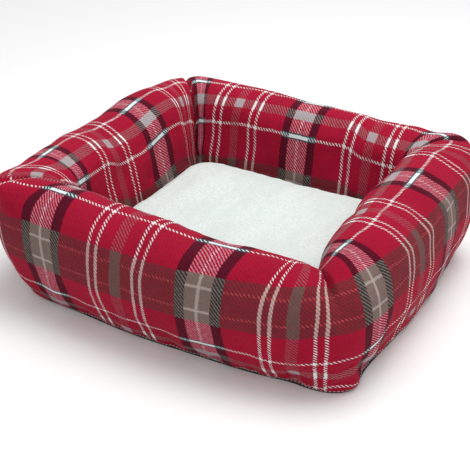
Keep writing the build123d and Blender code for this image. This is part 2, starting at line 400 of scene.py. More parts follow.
def puffed_ring(grid):
    """The ring of walls after the simulation, held at the hem, the foot and the creases."""
    rows, columns = grid.shape[:2]
    held = np.zeros((rows, columns))
    held[:, :1] = 1.0
    held[:, -FOOT_HELD:] = 1.0
    for index in mitre_of.values():
        held[index, columns // 2:] = 1.0
    piece = new_mesh("ring", grid.reshape(-1, 3), grid_faces(rows, columns, wrap_rows=True))
    points = puffed(piece, held.ravel(), WALL_PRESSURE, WALL_SLACK, WALL_MOST)
    bpy.data.objects.remove(piece)
    points = points.reshape(grid.shape)
    points[:, :, 2] = np.maximum(points[:, :, 2], PANEL_TOP)
    return points


ring = puffed_ring(ring)
ring = refined(ring, wrap_rows=True)
way, whole_way = way_round(ring)
ring_normals = grid_normals(ring, wrap_rows=True)


# ---- the tartan's place on the walls ----
REPEAT = 217.0 * MM             # one repeat of the check, both ways
PALE_BAND_AT = 84.5 * MM        # first pale stripe, from the front left mitre
BELLY_ARC, CROWN_ARC = 115.0 * MM, 182.0 * MM   # lengths up the skin that the shifts are for
# How the panels were cut and sewn, in mm: two numbers a wall, at its left mitre and its middle.
BELLY_SHIFT = (0, 0, 0, 5, 45, 85, 120, 165)    # the check's shift along the wall
CROWN_SHIFT = (5, 0, -15, 35, 75, 90, 115, 155)
GREY_ARC = (210, 205, 205, 210, 225, 220, 245, 235)     # length up the skin to the grey stripe
DARK_ARC = (100, 100, 115, 115, 115, 110, 135, 125)     # and to the middle of the dark one
DARK_HALF = 28.5 * MM           # half the width of the dark cross stripe
HEM_STRETCH = 1.45
SHIFT_BLEND = 9.0               # sections over which the shifts run into each other


def round_the_ring(values, turns_on):
    """Values at the mitres and middles of the walls, smoothly spread over the ring's sections."""
    starts = [way[2 * mitres[index]] for index in range(4)] + [whole_way]
    halves = [(start, (start + end) / 2) for start, end in zip(starts, starts[1:])]
    places = np.concatenate(halves)
    trend = turns_on * REPEAT / whole_way
    rest = np.array(values) * MM - trend * places
    spread = np.interp(way, places, rest, period=whole_way)
    return smooth_round(spread, SHIFT_BLEND) + trend * way


def check_place():
    """Place of every ring point in the check: along the stripes of both directions."""
    steps = np.linalg.norm(np.diff(ring, axis=1), axis=2)
    arc = np.concatenate([np.zeros((len(ring), 1)), np.cumsum(steps, axis=1)], axis=1)
    up = smoothstep(BELLY_ARC, CROWN_ARC, arc)
    belly, crown = (round_the_ring(shift, 1)[:, None] for shift in (BELLY_SHIFT, CROWN_SHIFT))
    along = way[:, None] + belly * (1 - up) + crown * up - PALE_BAND_AT
    dark, grey = (round_the_ring(place, 0)[:, None] for place in (DARK_ARC, GREY_ARC))
    below = -DARK_HALF - (dark - DARK_HALF - arc) * HEM_STRETCH
    part = (arc - dark - DARK_HALF) / (grey - dark - DARK_HALF)
    between = DARK_HALF + part * (REPEAT / 2 - DARK_HALF)
    cross = np.where(arc < dark - DARK_HALF, below, arc - dark)
    cross = np.where(arc > dark + DARK_HALF, between, cross)
    cross = np.where(arc > grey, REPEAT / 2 + arc - grey, cross)
    return np.stack([along, cross, 0 * arc], axis=2)


check = check_place()


# ---- cutting the ring into four walls ----
def wall_rows(wall):
    """Rows of the refined ring that a wall takes, from mitre to mitre."""
    index = WALLS.index(wall)
    start, stop = 2 * mitres[index], 2 * mitres[(index + 1) % 4]
    count = (stop - start) % len(ring)
    return (start + np.arange(count + 1)) % len(ring)


def edge_loop(rows, columns, first=0):
    """Indices round the edge of a grid of points, each point once."""
    index = first + np.arange(rows * columns).reshape(rows, columns)
    return np.concatenate([index[:-1, 0], index[-1, :-1], index[:0:-1, -1], index[0, :0:-1]])


def shell(outer, normals, thickness):
    """Points, normals and faces of a skin with a thickness: a fine outside and, half as
    fine, an inside that is turned over, with the rim between them."""
    inner = (outer - normals * thickness)[::2, ::2]
    inside = -normals[::2, ::2]
    fine, coarse = outer.shape[:2], inner.shape[:2]
    faces = [tuple(face) for face in grid_faces(*fine)]
    faces += [tuple(face) for face in grid_faces(*coarse)[:, ::-1] + fine[0] * fine[1]]
    fine_edge, coarse_edge = edge_loop(*fine), edge_loop(*coarse, first=fine[0] * fine[1])
    count = len(coarse_edge)
    for step in range(count):
        start, middle = fine_edge[2 * step], fine_edge[2 * step + 1]
        end = fine_edge[(2 * step + 2) % len(fine_edge)]
        below, beside = coarse_edge[step], coarse_edge[(step + 1) % count]
        faces += [(middle, start, below, beside), (end, middle, beside)]
    points = np.concatenate([outer.reshape(-1, 3), inner.reshape(-1, 3)])
    return points, np.concatenate([normals.reshape(-1, 3), inside.reshape(-1, 3)]), faces


def dress(piece, body, slot, *nodes, fill=None):
    """Give a piece its body and hide the CAD nodes it stands for; its finish (the slot) and its
    stuffing (the fill) are not used.
    """
    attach(piece, body)
    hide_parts(*nodes)
    return piece


def wall_cover(wall):
    rows = wall_rows(wall)
    points, normals, faces = shell(ring[rows], ring_normals[rows], COVER_THICKNESS)
    piece = new_mesh(wall + "_cover", points, faces)
    piece.data.normals_split_custom_set_from_vertices(normals)
    place = check[rows]
    if wall == WALLS[-1]:
        place[-1, :, 0] += whole_way + REPEAT
    place = np.concatenate([place.reshape(-1, 3), place[::2, ::2].reshape(-1, 3)])
    weave = piece.data.attributes.new("weave", "FLOAT_VECTOR", "POINT")
    weave.data.foreach_set("vector", place.ravel())
    return dress(piece, "bed", "tartan_fleece", wall + "_bolster_cover", fill=0.8)


def wall_fill(wall):
    """Fibre inside a wall: a coarser, closed copy of its skin, a little smaller."""
    rows = wall_rows(wall)[::2]
    skin = (ring[rows] - ring_normals[rows] * FILL_DEPTH)[:, ::2]
    skin[:, :, 2] = np.maximum(skin[:, :, 2], PANEL_TOP + FILL_GAP)
    count, columns = skin.shape[:2]
    faces = [tuple(face) for face in grid_faces(count, columns)]
    index = np.arange(count * columns).reshape(count, columns)
    faces += [(index[row, 0], index[row, -1], index[row + 1, -1], index[row + 1, 0])
              for row in range(count - 1)]
    faces += [tuple(index[0]), tuple(index[-1, ::-1])]
    piece = new_mesh(wall + "_fill", skin.reshape(-1, 3), faces)
    return dress(piece, "bed", "fibre_fill", wall + "_bolster_fill", fill=0.8)


FILL_DEPTH = 2.2 * MM
FILL_GAP = 0.3 * MM
covers = [wall_cover(wall) for wall in WALLS]
fills = [wall_fill(wall) for wall in WALLS]


# ---- flat-lying pieces of the well: grids whose edge follows an outline ----
OUTLINE_ANGLES = np.radians(np.arange(0.0, 360.0, 1.5))
WALL_LEVELS = np.arange(34.0, 100.0, 4.0) * MM
REACH_BLEND = 5.0               # directions that are evened out together


def wall_reach():
    """Distance from the well's middle to the walls, by height and direction."""
    faces = [tuple(face) for face in grid_faces(*ring.shape[:2], wrap_rows=True)]
    walls = BVHTree.FromPolygons([Vector(point) for point in ring.reshape(-1, 3)], faces)
    reach = np.empty((len(WALL_LEVELS), len(OUTLINE_ANGLES)))
    for level, height in enumerate(WALL_LEVELS):
        for step, angle in enumerate(OUTLINE_ANGLES):
            origin = Vector((*WELL_CENTRE, height))
            reach[level, step] = walls.ray_cast(origin, Vector((cos(angle), sin(angle), 0)))[3]
    smooth = smooth_round(reach.T, REACH_BLEND).T
    return np.minimum(smooth, reach)


def rounded_rectangle(half, radius):
    """Distance from the middle to the edge of a rounded rectangle, by direction."""
    reach = []
    for angle in OUTLINE_ANGLES:
        x, y = abs(cos(angle)), abs(sin(angle))
        straight = min(half[0] / max(x, 1e-9), half[1] / max(y, 1e-9))
        arc = half - radius
        if straight * x > arc[0] and straight * y > arc[1]:
            ahead = arc[0] * x + arc[1] * y
            straight = ahead + np.sqrt(ahead**2 - arc @ arc + radius**2)
        reach.append(straight)
    return np.array(reach)


def reach_at(table, angle, height):
    """Reach in a direction and, where the table has levels, at a height."""
    turn = np.mod(angle, 2 * pi) / (2 * pi) * len(OUTLINE_ANGLES)
    before = np.floor(turn).astype(int) % len(OUTLINE_ANGLES)
    after, part = (before + 1) % len(OUTLINE_ANGLES), turn - np.floor(turn)
    if table.ndim == 1:
        return table[before] * (1 - part) + table[after] * part
    rise = np.clip((height - WALL_LEVELS[0]) / (WALL_LEVELS[1] - WALL_LEVELS[0]), 0,
                   len(WALL_LEVELS) - 1.001)
    low = np.floor(rise).astype(int)
    up = rise - low
    lower = table[low, before] * (1 - part) + table[low, after] * part
    upper = table[low + 1, before] * (1 - part) + table[low + 1, after] * part
    return lower * (1 - up) + upper * up


def dome(table, gap, profile, columns, rows):
    """Grid of points that falls from its middle to an edge that follows an outline.

    The profile has (way in from the edge, share of the reach, height) from 0 to 1 way in.
    """
    across, deep = np.linspace(-1, 1, columns)[:, None], np.linspace(-1, 1, rows)[None, :]
    way_in = 1.0 - np.maximum(np.abs(across), np.abs(deep))
    angle = np.arctan2(deep * WELL_HALF[1] + 0 * across, across * WELL_HALF[0] + 0 * deep)
    stops, shares, heights = np.array(profile).T
    height = np.interp(way_in, stops, heights)
    reach = (reach_at(table, angle, height) - gap) * np.interp(way_in, stops, shares)
    return np.stack([WELL_CENTRE[0] + reach * np.cos(angle),
                     WELL_CENTRE[1] + reach * np.sin(angle), height], axis=2)


def closed_lens(top, bottom):
    """Points and faces of a top and a bottom grid that share their edge points."""
    columns, rows = top.shape[:2]
    count = columns * rows
    edge = np.zeros((columns, rows), bool)
    edge[[0, -1], :] = edge[:, [0, -1]] = True
    number = np.full((columns, rows), -1)
    number[edge] = np.arange(count).reshape(columns, rows)[edge]
    number[~edge] = count + np.arange((~edge).sum())
    points = np.concatenate([top.reshape(-1, 3), bottom[~edge]])
    faces = [tuple(face) for face in grid_faces(columns, rows)]
    faces += [tuple(face) for face in number.ravel()[grid_faces(columns, rows)[:, ::-1]]]
    return points, faces, number


# ---- the cushion ----
SHERPA_THICKNESS = 3.0 * MM
CUSHION_GAP = 0.8 * MM
CUSHION_CORNER = 36.0 * MM
CUSHION_COLUMNS, CUSHION_ROWS = 59, 47
# Way in from the edge, share of the reach, and share of the height above or below the seam.
CUSHION_TOP = ((0.0, 1.0, 0.0), (0.04, 1.0, 0.20), (0.08, 0.995, 0.36), (0.13, 0.975, 0.52),
               (0.18, 0.94, 0.65), (0.25, 0.88, 0.76), (0.45, 0.65, 0.90), (0.7, 0.355, 0.97),
               (1.0, 0.0, 1.0))
CUSHION_BOTTOM = ((0.0, 1.0, 0.0), (0.05, 0.995, 0.3), (0.1, 0.975, 0.6), (0.16, 0.93, 0.88),
                  (0.22, 0.87, 0.98), (1.0, 0.0, 1.0))
CUSHION_PRESSURE = 3.0
CUSHION_SLACK = 0.02
CUSHION_MOST = 3.5 * MM
cushion_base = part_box("cushion_bottom_cover")[0].z
cushion_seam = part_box("cushion_top_cover")[0].z
cushion_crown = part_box("cushion_top_cover")[1].z


def cushion_profiles():
    rise, fall = cushion_crown - cushion_seam, cushion_seam - cushion_base
    top = [(way_in, share, cushion_seam + part * rise) for way_in, share, part in CUSHION_TOP]
    bottom = [(way_in, share, cushion_seam - part * fall) for way_in, share, part in CUSHION_BOTTOM]
    return top, bottom


def kept_off_walls(points, table, gap):
    """Points moved in where they are nearer to the walls than the gap."""
    flat = points[..., :2] - WELL_CENTRE
    angle = np.arctan2(flat[..., 1], flat[..., 0])
    most = reach_at(table, angle, points[..., 2]) - gap
    reach = np.linalg.norm(flat, axis=-1)
    share = np.minimum(1.0, most / np.maximum(reach, 1e-9))
    kept = points.copy()
    kept[..., :2] = WELL_CENTRE + flat * share[..., None]
    return kept


def cushion_grids(table):
    """The cushion's top and bottom, swollen by a cloth simulation."""
    top_profile, bottom_profile = cushion_profiles()
    top = dome(table, CUSHION_GAP, top_profile, CUSHION_COLUMNS, CUSHION_ROWS)
    bottom = dome(table, CUSHION_GAP, bottom_profile, CUSHION_COLUMNS, CUSHION_ROWS)
    points, faces, number = closed_lens(top, bottom)
    piece = new_mesh("lens", points, faces)
    held = np.zeros(len(points))
    middle_columns = slice(CUSHION_COLUMNS // 4, -CUSHION_COLUMNS // 4)
    middle_rows = slice(CUSHION_ROWS // 4, -CUSHION_ROWS // 4)
    held[number[middle_columns, middle_rows]] = 1
    points = puffed(piece, held, CUSHION_PRESSURE, CUSHION_SLACK, CUSHION_MOST)
    bpy.data.objects.remove(piece)
    top = points[:top.shape[0] * top.shape[1]].reshape(top.shape)
    bottom = points[number]
    top = kept_off_walls(top, table, CUSHION_GAP)
    bottom = kept_off_walls(bottom, table, CUSHION_GAP)
    bottom[:, :, 2] = np.maximum(bottom[:, :, 2], cushion_base)
    return top, bottom


def sherpa_cover(name, grid, turned_over, finer):
    """A cover of the cushion with tufts on its outside, which faces down if it is turned over."""
    for _ in range(finer):
        grid = refined(grid, wrap_rows=False)
    normals = grid_normals(grid)
    if (normals[grid.shape[0] // 2, grid.shape[1] // 2, 2] > 0) == turned_over:
        normals = -normals
    flat = grid.reshape(-1, 3)
    edge = np.ones(grid.shape[:2])
    edge[[0, -1], :] = edge[:, [0, -1]] = 0.0
    tufts = sum(height * lattice_noise(flat, grain, seed) for grain, height, seed in SHERPA_TUFTS)
    grid = grid + normals * (tufts.reshape(edge.shape) * edge)[:, :, None]
    points, _, faces = shell(grid, normals, SHERPA_THICKNESS)
    if turned_over:
        faces = [face[::-1] for face in faces]
    return new_mesh(name, points, faces)


SHERPA_TUFTS = ((34.0 * MM, 0.9 * MM, 21), (9.0 * MM, 0.35 * MM, 22), (4.2 * MM, 0.30 * MM, 23))
walls_reach = np.minimum(wall_reach(), rounded_rectangle(WELL_HALF, CUSHION_CORNER))
cushion_top, cushion_bottom = cushion_grids(walls_reach)
top_cover = dress(sherpa_cover("cushion_top", cushion_top, False, 2),
                  "cushion", "sherpa_fleece", "cushion_top_cover", fill=0.7)
bottom_cover = dress(sherpa_cover("cushion_bottom", cushion_bottom, True, 1),
                     "cushion", "sherpa_fleece", "cushion_bottom_cover", fill=0.7)


# ---- materials ----
class Nodes:
    """A material's node tree, built up from short calls."""

    def __init__(self, name, roughness, sheen=0.0, sheen_tint=(1, 1, 1)):
        self.material = bpy.data.materials.new(name)
        self.material.use_nodes = True
        self.tree = self.material.node_tree
        self.shader = self.tree.nodes["Principled BSDF"]
        self.shader.inputs["Roughness"].default_value = roughness
        self.shader.inputs["Specular IOR Level"].default_value = 0.12
        self.shader.inputs["Sheen Weight"].default_value = sheen
        self.shader.inputs["Sheen Roughness"].default_value = 0.5
        self.shader.inputs["Sheen Tint"].default_value = (*sheen_tint, 1)
        self.object_place = self.tree.nodes.new("ShaderNodeTexCoord").outputs["Object"]

    def split(self, vector):
        node = self.tree.nodes.new("ShaderNodeSeparateXYZ")
        self.put(node.inputs[0], vector)
        return node.outputs

    def put(self, socket, value):
        if isinstance(value, bpy.types.NodeSocket):
            self.tree.links.new(value, socket)
        elif isinstance(value, tuple) and socket.type == "RGBA":
            socket.default_value = (*value, 1)
        else:
            socket.default_value = value

    def math(self, operation, *values):
        node = self.tree.nodes.new("ShaderNodeMath")
        node.operation = operation
        for socket, value in zip(node.inputs, values):
            self.put(socket, value)
        return node.outputs[0]

    def smooth(self, value, low, high, start=0.0, end=1.0):
        """The value's smooth rise from low to high, as start to end."""
        node = self.tree.nodes.new("ShaderNodeMapRange")
        node.interpolation_type = "SMOOTHSTEP"
        for name, given in (("Value", value), ("From Min", low), ("From Max", high),
                            ("To Min", start), ("To Max", end)):
            self.put(node.inputs[name], given)
        return node.outputs[0]

    def times(self, first, *others):
        for other in others:
            first = self.math("MULTIPLY", first, other)
        return first

    def less(self, value):
        return self.math("SUBTRACT", 1.0, value)

    def mix(self, colour, other, part):
        node = self.tree.nodes.new("ShaderNodeMix")
        node.data_type = "RGBA"
        self.put(node.inputs["Factor"], part)
        self.put(node.inputs["A"], colour)
        self.put(node.inputs["B"], other)
        return node.outputs["Result"]

    def texture(self, kind, grain, stretch=(1, 1, 1)):
        """A texture node with its grains this large, in metres."""
        mapping = self.tree.nodes.new("ShaderNodeMapping")
        mapping.inputs["Scale"].default_value = [part / grain for part in stretch]
        self.put(mapping.inputs["Vector"], self.object_place)
        node = self.tree.nodes.new(kind)
        node.inputs["Scale"].default_value = 1.0
        self.put(node.inputs["Vector"], mapping.outputs[0])
        return node

    def noise(self, grain, detail, stretch=(1, 1, 1)):
        """Noise from about 0.3 to 0.7."""
        node = self.texture("ShaderNodeTexNoise", grain, stretch)
        node.inputs["Detail"].default_value = detail
        return node.outputs["Fac"]

    def curls(self, grain):
        """Distance to the nearest of scattered tufts, over the grain."""
        node = self.texture("ShaderNodeTexVoronoi", grain)
        node.feature = "SMOOTH_F1"
        return node.outputs["Distance"]

    def finished(self, colour, height, depth):
        """The material, with its colour and a bump this deep, in metres."""
        self.put(self.shader.inputs["Base Color"], colour)
        bump = self.tree.nodes.new("ShaderNodeBump")
        bump.inputs["Distance"].default_value = depth
        self.put(bump.inputs["Height"], height)
        self.put(self.shader.inputs["Normal"], bump.outputs[0])
        return self.material


# Colours of the check, linear: the stripes of both directions, and what they make where they cross.
RED, RED_SHADE = (0.40, 0.0045, 0.032), (0.26, 0.003, 0.020)
WHITE = (0.80, 0.80, 0.80)
PINK_WHITE, PALE_PINK = (0.60, 0.27, 0.33), (0.70, 0.52, 0.55)
MAROON_LINE, MAROON_BASE = (0.27, 0.013, 0.028), (0.115, 0.024, 0.028)
BRIGHT_LINE = (0.50, 0.050, 0.07)
TAN, TAN_LINE, BROWN_GREY = (0.21, 0.150, 0.130), (0.46, 0.38, 0.35), (0.13, 0.085, 0.075)
CREAM, GREY, LIGHT_GREY = (0.55, 0.38, 0.34), (0.27, 0.16, 0.17), (0.42, 0.39, 0.40)
CHARCOAL, CHARCOAL_LINE = (0.035, 0.030, 0.028), (0.22, 0.18, 0.165)
TEAL, MINT_WHITE = (0.035, 0.062, 0.075), (0.74, 0.82, 0.83)
# Stripes: distances in mm from the middle of the pale stripe and of the dark cross stripe.
PALE_STRIPE, PALE_LINE, DARK_EDGE, GREY_STRIPE = (0, 15.8), (0, 1.8), (15.8, 28.4), (101.5, 120)
DOUBLE_LINES = ((70.2, 73.8), (81.6, 85.2))
HEAVY_STRIPE, HEAVY_LINE = (0, 28.5), (12.6, 15.6)
THIN_LINE, THIN_CORE, THIN_RIM = (75.9, 79.5), (75.3, 80.1), (73.4, 82.2)
DEEP_RED, DEEP_RED_LINE = (0.075, 0.002, 0.012), (0.105, 0.003, 0.016)
CLEAR_REPEATS = 40
TWILL = 4.7 * MM                # from one printed diagonal to the next
FUZZ, DRIFT = 1.9 * MM, 5.0 * MM    # how far the print's edges and its stripes wander
SOFT = 0.8 * MM                 # width of the print's blurred edges


def tartan():
    nodes = Nodes("tartan_fleece", 0.95, 0.05, (1.0, 0.45, 0.50))
    weave = nodes.tree.nodes.new("ShaderNodeAttribute")
    weave.attribute_name = "weave"
    place = nodes.split(weave.outputs["Vector"])
    blur = nodes.math("SUBTRACT", nodes.noise(1.6 * MM, 3.0), 0.5)
    drift = nodes.math("SUBTRACT", nodes.noise(45.0 * MM, 1.0), 0.5)
    along = nodes.math("ADD", place["X"], nodes.times(blur, FUZZ))
    cross = nodes.math("ADD", place["Y"], nodes.times(blur, FUZZ))
    along = nodes.math("ADD", along, nodes.times(drift, DRIFT))

    def from_stripe(place):
        clear = nodes.math("ADD", place, CLEAR_REPEATS * REPEAT)
        return nodes.math("PINGPONG", clear, REPEAT / 2)

    def band(value, edges):
        low, high = edges[0] * MM, edges[1] * MM
        rise = nodes.smooth(value, low - SOFT, low + SOFT) if low > 0 else 1.0
        fall = nodes.smooth(value, high - SOFT, high + SOFT, 1.0, 0.0)
        return nodes.times(fall, rise)

    warp, weft = from_stripe(along), from_stripe(cross)
    pale, pale_line, dark = band(warp, PALE_STRIPE), band(warp, PALE_LINE), band(warp, DARK_EDGE)
    double = nodes.math("ADD", *(band(warp, edges) for edges in DOUBLE_LINES))
    grey, wide = band(warp, GREY_STRIPE), band(weft, GREY_STRIPE)
    heavy, heavy_line = band(weft, HEAVY_STRIPE), band(weft, HEAVY_LINE)
    thin, thin_core, thin_rim = (band(weft, edges) for edges in (THIN_LINE, THIN_CORE, THIN_RIM))

    diagonal = nodes.math("ADD", nodes.math("ADD", along, cross), 400 * TWILL)
    turn = nodes.math("PINGPONG", diagonal, TWILL / 2)
    twill = nodes.smooth(turn, 0.34 * TWILL / 2, 0.66 * TWILL / 2)
    line = nodes.smooth(turn, 0.50 * TWILL / 2, 0.74 * TWILL / 2)
    other = nodes.less(twill)

    mottle = nodes.smooth(nodes.noise(60.0 * MM, 3.0), 0.35, 0.68)
    ground = nodes.mix(RED, RED_SHADE, nodes.times(other, 0.45))
    base = nodes.mix(ground, RED_SHADE, nodes.times(mottle, 0.35))
    colour = base

    def paint(other_colour, *parts):
        nonlocal colour
        colour = nodes.mix(colour, other_colour, nodes.times(*parts))

    # Cross stripes over the red, then long stripes over the red.
    paint(nodes.mix(MAROON_BASE, MAROON_LINE, twill), heavy)
    paint(BRIGHT_LINE, heavy_line, line)
    paint(GREY, wide, line, 0.85)
    paint(WHITE, thin, line)
    paint(nodes.mix(DEEP_RED, DEEP_RED_LINE, twill), dark)
    paint(PINK_WHITE, pale, line, 0.80)
    paint(PALE_PINK, pale_line, line)
    paint(GREY, grey, line, 0.45)
    paint(WHITE, double, line)
    # Crossings.
    paint(nodes.mix(TAN, BROWN_GREY, nodes.times(other, 0.30)), pale, heavy)
    paint(TAN_LINE, pale, heavy_line, 0.75)
    paint(TAN_LINE, pale_line, heavy, 0.75)
    paint(nodes.mix(CHARCOAL, CHARCOAL_LINE, nodes.times(line, 0.8)), dark, heavy)
    paint(nodes.mix(CREAM, MAROON_LINE, nodes.times(other, 0.35)), double, heavy)
    paint(nodes.mix(BROWN_GREY, MAROON_LINE, nodes.times(other, 0.3)), grey, heavy)
    paint(nodes.mix(LIGHT_GREY, GREY, nodes.times(other, 0.4)), pale, wide)
    paint(nodes.mix(CHARCOAL, GREY, line), dark, wide)
    paint(LIGHT_GREY, grey, wide, 0.8)
    paint(WHITE, double, wide)
    paint(TEAL, nodes.math("MINIMUM", nodes.math("ADD", pale, dark), 1.0), thin_rim)
    paint(MINT_WHITE, pale, thin_core)
    paint(MINT_WHITE, dark, thin_core, line)
    paint(WHITE, double, thin_core)
    # The nap: short fibres that catch the light unevenly.
    fibre = nodes.noise(0.8 * MM, 4.0)
    colour = nodes.mix(colour, (0.0, 0.0, 0.0), nodes.smooth(fibre, 0.62, 0.30, 0.0, 0.30))
    height = nodes.math("ADD", nodes.times(fibre, 0.4), nodes.times(nodes.noise(3.5 * MM, 3.0), 0.5))
    height = nodes.math("ADD", height, nodes.times(nodes.noise(14.0 * MM, 2.0), 1.4))
    return nodes.finished(colour, height, 1.2 * MM)


def sherpa():
    nodes = Nodes("sherpa_fleece", 0.95, 0.20)
    curl, tuft = nodes.curls(2.6 * MM), nodes.noise(1.1 * MM, 4.0)
    lie = nodes.noise(26.0 * MM, 3.0, stretch=(1.0, 0.35, 1.0))
    # Painted shade: the colour darkens between the curls and the tufts, where the bump is low.
    shade = nodes.math("ADD", nodes.times(curl, 0.55), nodes.times(tuft, 0.6))
    colour = nodes.mix((0.70, 0.76, 0.735), (0.52, 0.58, 0.555), nodes.smooth(shade, 0.35, 0.95))
    colour = nodes.mix(colour, (0.60, 0.66, 0.635), nodes.smooth(lie, 0.40, 0.66, 0.0, 0.7))
    return nodes.finished(colour, nodes.less(shade), 1.3 * MM)


def fibre_fill():
    nodes = Nodes("fibre_fill", 0.95, 0.3)
    wisps = nodes.noise(9.0 * MM, 6.0, stretch=(1.0, 0.3, 1.0))
    colour = nodes.mix((0.82, 0.82, 0.80), (0.66, 0.66, 0.64), nodes.smooth(wisps, 0.35, 0.7))
    return nodes.finished(colour, wisps, 2.0 * MM)


def woven(name, light, dark, pitch, roughness):
    """Plain-woven cloth: threads over and under, with slubs."""
    nodes = Nodes(name, roughness, 0.15)
    place = nodes.split(nodes.object_place)
    waves = [nodes.math("SINE", nodes.times(place[axis], 2 * pi / pitch)) for axis in "XY"]
    weave = nodes.smooth(nodes.times(*waves), -0.8, 0.8)
    slub = nodes.noise(6.0 * pitch, 3.0, stretch=(1.0, 0.15, 1.0))
    part = nodes.math("ADD", nodes.times(weave, 0.6), nodes.times(slub, 0.5))
    return nodes.finished(nodes.mix(dark, light, nodes.smooth(part, 0.2, 0.9)), part, pitch / 4)


def thread(name, light, dark, pitch):
    """Twisted thread: fine slanting strands."""
    nodes = Nodes(name, 0.6, 0.2)
    place = nodes.split(nodes.object_place)
    slant = nodes.math("ADD", nodes.math("ADD", place["X"], place["Y"]), place["Z"])
    strand = nodes.smooth(nodes.math("SINE", nodes.times(slant, 2 * pi / pitch)), -1.0, 1.0)
    fuzz = nodes.noise(0.5 * MM, 3.0)
    colour = nodes.mix(dark, light, nodes.times(strand, nodes.smooth(fuzz, 0.3, 0.6)))
    return nodes.finished(colour, strand, 0.15 * MM)


def floor_paper():
    nodes = Nodes("floor_paper", 0.85)
    tooth = nodes.noise(2.0 * MM, 3.0)
    colour = nodes.mix((0.86, 0.86, 0.86), (0.82, 0.82, 0.82), tooth)
    return nodes.finished(colour, tooth, 0.05 * MM)


def finish(piece, material):
    piece.data.materials.clear()
    piece.data.materials.append(material)


fleece_material, sherpa_material, fill_material = tartan(), sherpa(), fibre_fill()
panel_material = woven("base_fabric", (0.045, 0.043, 0.046), (0.012, 0.011, 0.013), 1.3 * MM, 0.8)
lining_material = woven("lining_fabric", (0.70, 0.69, 0.66), (0.52, 0.51, 0.49), 1.1 * MM, 0.85)
red_thread = thread("thread_red", (0.30, 0.008, 0.03), (0.10, 0.003, 0.01), 0.9 * MM)
pale_thread = thread("thread_pale", (0.62, 0.68, 0.60), (0.30, 0.34, 0.30), 0.9 * MM)
white_thread = thread("thread_white", (0.80, 0.84, 0.82), (0.55, 0.60, 0.58), 0.9 * MM)
for material, pieces in ((fleece_material, covers), (fill_material, fills),
                         (sherpa_material, (top_cover, bottom_cover))):
    for piece in pieces:
        finish(piece, material)


# ---- base panel, stitches, lining, pad and the cushion's filling ----
PANEL_MARGIN = 1.2 * MM         # the panel shows this much outside the hem
PANEL_SHARES = (1.0, 0.985, 0.94, 0.80, 0.6, 0.4, 0.2)
LINING_SKIN = 0.9 * MM
PAD_COLUMNS, PAD_ROWS = 61, 49
# Way in from the edge, share of the reach, and share of the half height.
PAD_TOP = ((0.0, 1.0, 0.0), (0.08, 1.0, 0.64), (0.14, 0.97, 0.88), (0.22, 0.90, 0.98),
           (0.30, 0.80, 1.0), (1.0, 0.0, 1.0))
PAD_BOTTOM = ((0.0, 1.0, 0.0), (0.08, 1.0, 0.80), (0.14, 0.98, 1.0), (0.30, 0.80, 1.0),
              (1.0, 0.0, 1.0))
FILLING_SHARE = 0.965           # of the cushion's reach
FILLING_LEAST = 0.3 * MM        # half the filling's thickness near its edge
STITCH_SIDES = 6
# Along a stitch: share of its length, and share of its radius.
STITCH_RINGS = ((0.0, 0.35), (0.12, 0.85), (0.5, 1.0), (0.88, 0.85), (1.0, 0.35))


def base_panel():
    """A flat cloth that follows the hem: rings of quads, above and below, joined at the edge."""
    hem = ring[::2, 0, :2]
    out = ring_normals[::2, 0, :2]
    out = out / np.linalg.norm(out, axis=1, keepdims=True)
    edge = smooth_round(hem + out * PANEL_MARGIN, 1.5)
    count = len(edge)
    points, faces = [], []
    for height in (PANEL_TOP, 0.0):
        for share in PANEL_SHARES:
            flat = WELL_CENTRE + (edge - WELL_CENTRE) * share
            points += [(*place, height) for place in flat]
        points.append((*WELL_CENTRE, height))
    layer = len(PANEL_SHARES) * count + 1
    last = (len(PANEL_SHARES) - 1) * count
    for step in range(count):
        after = (step + 1) % count
        for level in range(len(PANEL_SHARES) - 1):
            outer, inner = level * count, (level + 1) * count
            quad = (outer + step, outer + after, inner + after, inner + step)
            faces += [quad, tuple(layer + index for index in quad[::-1])]
        faces.append((last + step, last + after, layer - 1))
        faces.append((layer + last + after, layer + last + step, 2 * layer - 1))
        faces.append((step, layer + step, layer + after, after))
    piece = new_mesh("base_cloth", points, faces)
    piece.data.polygons.foreach_set("use_smooth", [False] * len(piece.data.polygons))
    dress(piece, "bed", "base_fabric", "base_panel")
    finish(piece, panel_material)


def unit(vector):
    return vector / max(np.linalg.norm(vector), 1e-9)


def stitches(name, path, ups, length, spacing, radius, closed=False):
    """Separate stitches along a path, each a small round-ended thread that lies on the cloth."""
    if closed:
        path, ups = np.vstack([path, path[:1]]), np.vstack([ups, ups[:1]])
    steps = np.linalg.norm(np.diff(path, axis=0), axis=1)
    lengths = np.concatenate([[0], np.cumsum(steps)])

    def found(values, at):
        return np.array([np.interp(at, lengths, values[:, axis]) for axis in range(3)])

    points, faces = [], []
    angles = np.arange(STITCH_SIDES) * 2 * pi / STITCH_SIDES
    for number in range(int((lengths[-1] - length) / spacing)):
        start = number * spacing + (spacing - length) / 2
        first = len(points)
        for part, share in STITCH_RINGS:
            at = start + part * length
            centre = found(path, at)
            ahead = unit(found(path, at + 1 * MM) - centre)
            side = unit(np.cross(ahead, found(ups, at)))
            up = np.cross(side, ahead)
            points += [centre + radius * share * (side * cos(angle) + up * sin(angle))
                       for angle in angles]
        for low in range(first, len(points) - STITCH_SIDES, STITCH_SIDES):
            for turn in range(STITCH_SIDES):
                after = (turn + 1) % STITCH_SIDES
                faces.append((low + turn, low + STITCH_SIDES + turn,
                              low + STITCH_SIDES + after, low + after))
        faces.append(tuple(range(first, first + STITCH_SIDES)))
        faces.append(tuple(range(len(points) - 1, len(points) - STITCH_SIDES - 1, -1)))
    return new_mesh(name, points, faces)


